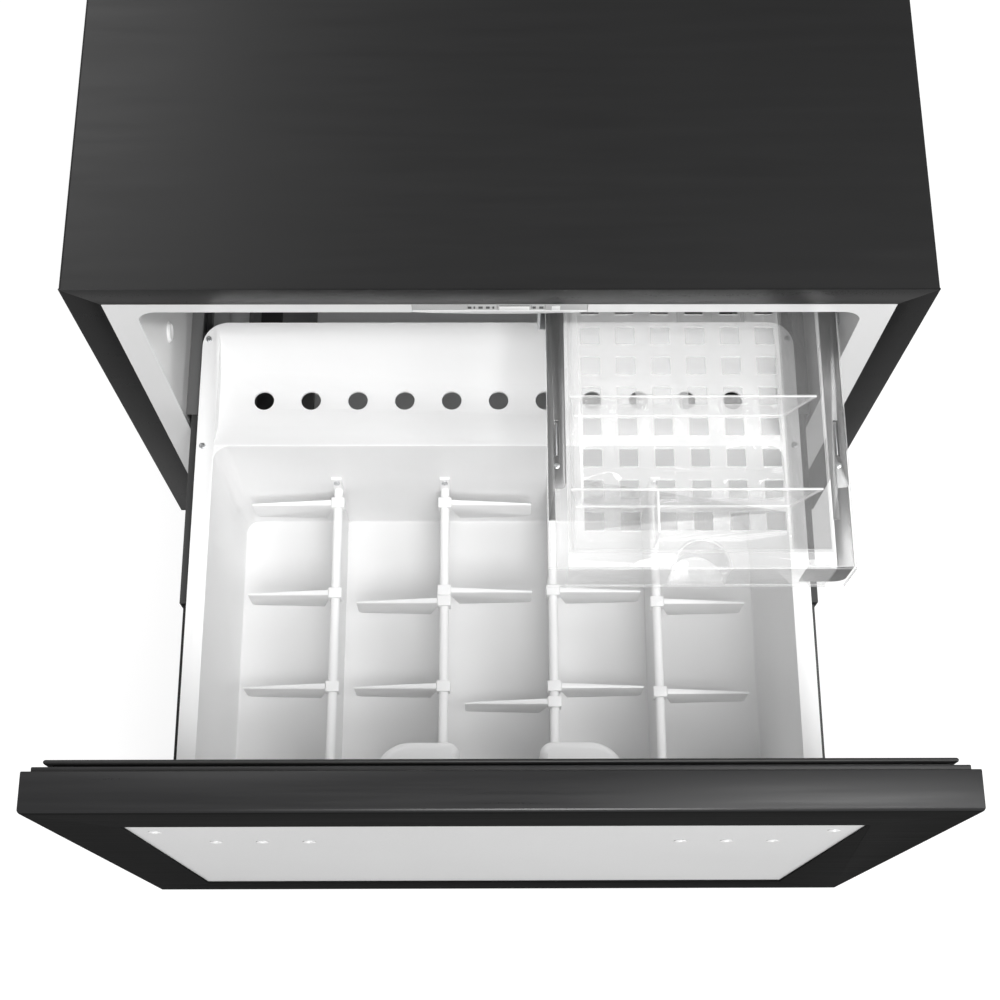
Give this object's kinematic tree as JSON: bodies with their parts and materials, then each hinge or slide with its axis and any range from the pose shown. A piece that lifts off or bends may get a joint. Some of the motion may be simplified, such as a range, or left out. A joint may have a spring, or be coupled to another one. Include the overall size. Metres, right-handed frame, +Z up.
{
  "type": "drawer minibar",
  "caption": "Black built-in drawer minibar with white bottle bin, rod-mounted sliding dividers, clear sliding tray and a bare front for a furniture panel.",
  "frame": {"origin": "centre of the bounding box's footprint with the drawer out, on the floor", "axes": "+X right, +Y from the drawer front to the rear, +Z up"},
  "size_m": [0.595, 0.859, 0.465],
  "materials": {
    "black_paint": "satin black paint",
    "foam": "rigid insulating foam",
    "white_plastic": "satin white moulding",
    "rubber": "black elastomer",
    "bare_steel": "zinc plated",
    "dark_steel": "black",
    "lamp_lens": "frosted",
    "board": "solder resist",
    "grey_plastic": "matt",
    "aluminium": "bare",
    "black_plastic": "satin",
    "grey_sheet": "light grey coated sheet",
    "clear_plastic": "clear"
  },
  "bodies": {
    "cabinet": {"outer_shell": "black_paint", "front_frame_left": "black_paint", "front_frame_right": "black_paint", "front_frame_top": "black_paint", "front_frame_bottom": "black_paint", "base_plate": "black_paint", "foam_body": "foam", "liner": "white_plastic", "wall_plugs": "white_plastic", "lamp_housing": "white_plastic", "levelling_feet": "rubber", "back_plate": "bare_steel", "absorber": "bare_steel", "boiler": "bare_steel", "tray_rail_outer_left": "bare_steel", "tray_rail_outer_right": "bare_steel", "tray_hangers": "bare_steel", "floor_guides": "dark_steel", "unit_brackets": "dark_steel", "slide_outer_left": "dark_steel", "slide_outer_right": "dark_steel", "lamp_lens": "lamp_lens", "lamp_board": "board", "evaporator": "aluminium", "condenser": "aluminium", "mains_inlet": "black_plastic"},
    "drawer": {"door_frame": "black_paint", "door_sheet": "grey_sheet", "sheet_anchors": "white_plastic", "door_core": "foam", "door_inner_plate": "black_plastic", "gasket": "rubber", "bin": "white_plastic", "bin_screws": "bare_steel", "divider_rods": "white_plastic", "drawer_carriers": "dark_steel", "slide_inner_left": "dark_steel", "slide_inner_right": "dark_steel"},
    "slide_mids": {"slide_mid_left": "dark_steel", "slide_mid_right": "dark_steel"},
    "tray_body": {"tray": "clear_plastic", "tray_dividers": "clear_plastic", "tray_rail_inner_left": "bare_steel", "tray_rail_inner_right": "bare_steel"},
    "tray_rail_mids": {"tray_rail_mid_left": "bare_steel", "tray_rail_mid_right": "bare_steel"},
    "temperature_key": {"temperature_button": "grey_plastic"},
    "lamp_key": {"lamp_button": "grey_plastic"},
    "divider_body_1": {"divider_1": "white_plastic"},
    "divider_body_2": {"divider_2": "white_plastic"},
    "divider_body_3": {"divider_3": "white_plastic"},
    "divider_body_4": {"divider_4": "white_plastic"},
    "divider_body_5": {"divider_5": "white_plastic"},
    "divider_body_6": {"divider_6": "white_plastic"},
    "divider_body_7": {"divider_7": "white_plastic"},
    "divider_body_8": {"divider_8": "white_plastic"},
    "divider_body_9": {"divider_9": "white_plastic"},
    "divider_body_10": {"divider_10": "white_plastic"},
    "divider_body_11": {"divider_11": "white_plastic"},
    "divider_body_12": {"divider_12": "white_plastic"}
  },
  "joints": [
    {"name": "drawer_slide", "type": "slide", "parent": "cabinet", "child": "drawer", "axis": [0, -1, 0], "range_m": [-0.3138, 0]},
    {"name": "slide_mid_run", "type": "slide", "parent": "cabinet", "child": "slide_mids", "axis": [0, -1, 0], "range_m": [-0.157, 0]},
    {"name": "tray_slide", "type": "slide", "parent": "cabinet", "child": "tray_body", "axis": [0, -1, 0], "range_m": [-0.17, 0]},
    {"name": "tray_mid_run", "type": "slide", "parent": "cabinet", "child": "tray_rail_mids", "axis": [0, -1, 0], "range_m": [-0.085, 0]},
    {"name": "temperature_press", "type": "slide", "parent": "cabinet", "child": "temperature_key", "axis": [0, 1, 0], "range_m": [0, 0.0008], "stiffness_N_per_m": 1000, "springref_m": -0.0008},
    {"name": "lamp_press", "type": "slide", "parent": "cabinet", "child": "lamp_key", "axis": [0, 1, 0], "range_m": [0, 0.0008], "stiffness_N_per_m": 1000, "springref_m": -0.0008},
    {"name": "divider_1_slide", "type": "slide", "parent": "drawer", "child": "divider_body_1", "axis": [0, 1, 0], "range_m": [-0.034, 0.008]},
    {"name": "divider_2_slide", "type": "slide", "parent": "drawer", "child": "divider_body_2", "axis": [0, 1, 0], "range_m": [-0.034, 0.034]},
    {"name": "divider_3_slide", "type": "slide", "parent": "drawer", "child": "divider_body_3", "axis": [0, 1, 0], "range_m": [-0.09, 0.034]},
    {"name": "divider_4_slide", "type": "slide", "parent": "drawer", "child": "divider_body_4", "axis": [0, 1, 0], "range_m": [-0.033, 0.008]},
    {"name": "divider_5_slide", "type": "slide", "parent": "drawer", "child": "divider_body_5", "axis": [0, 1, 0], "range_m": [0, 0.033]},
    {"name": "divider_6_slide", "type": "slide", "parent": "drawer", "child": "divider_body_6", "axis": [0, 1, 0], "range_m": [-0.031, 0]},
    {"name": "divider_7_slide", "type": "slide", "parent": "drawer", "child": "divider_body_7", "axis": [0, 1, 0], "range_m": [-0.09, 0.031]},
    {"name": "divider_8_slide", "type": "slide", "parent": "drawer", "child": "divider_body_8", "axis": [0, 1, 0], "range_m": [-0.035, 0.08]},
    {"name": "divider_9_slide", "type": "slide", "parent": "drawer", "child": "divider_body_9", "axis": [0, 1, 0], "range_m": [-0.0018, 0.035]},
    {"name": "divider_10_slide", "type": "slide", "parent": "drawer", "child": "divider_body_10", "axis": [0, 1, 0], "range_m": [-0.08, 0.0018]},
    {"name": "divider_11_slide", "type": "slide", "parent": "drawer", "child": "divider_body_11", "axis": [0, 1, 0], "range_m": [-0.033, 0.085]},
    {"name": "divider_12_slide", "type": "slide", "parent": "drawer", "child": "divider_body_12", "axis": [0, 1, 0], "range_m": [-0.09, 0.033]}
  ],
  "couplings": [
    {"joint": "slide_mid_run", "follows": "drawer_slide", "ratio": 0.5},
    {"joint": "tray_slide", "follows": "drawer_slide", "ratio": 0.54},
    {"joint": "tray_mid_run", "follows": "drawer_slide", "ratio": 0.27}
  ]
}
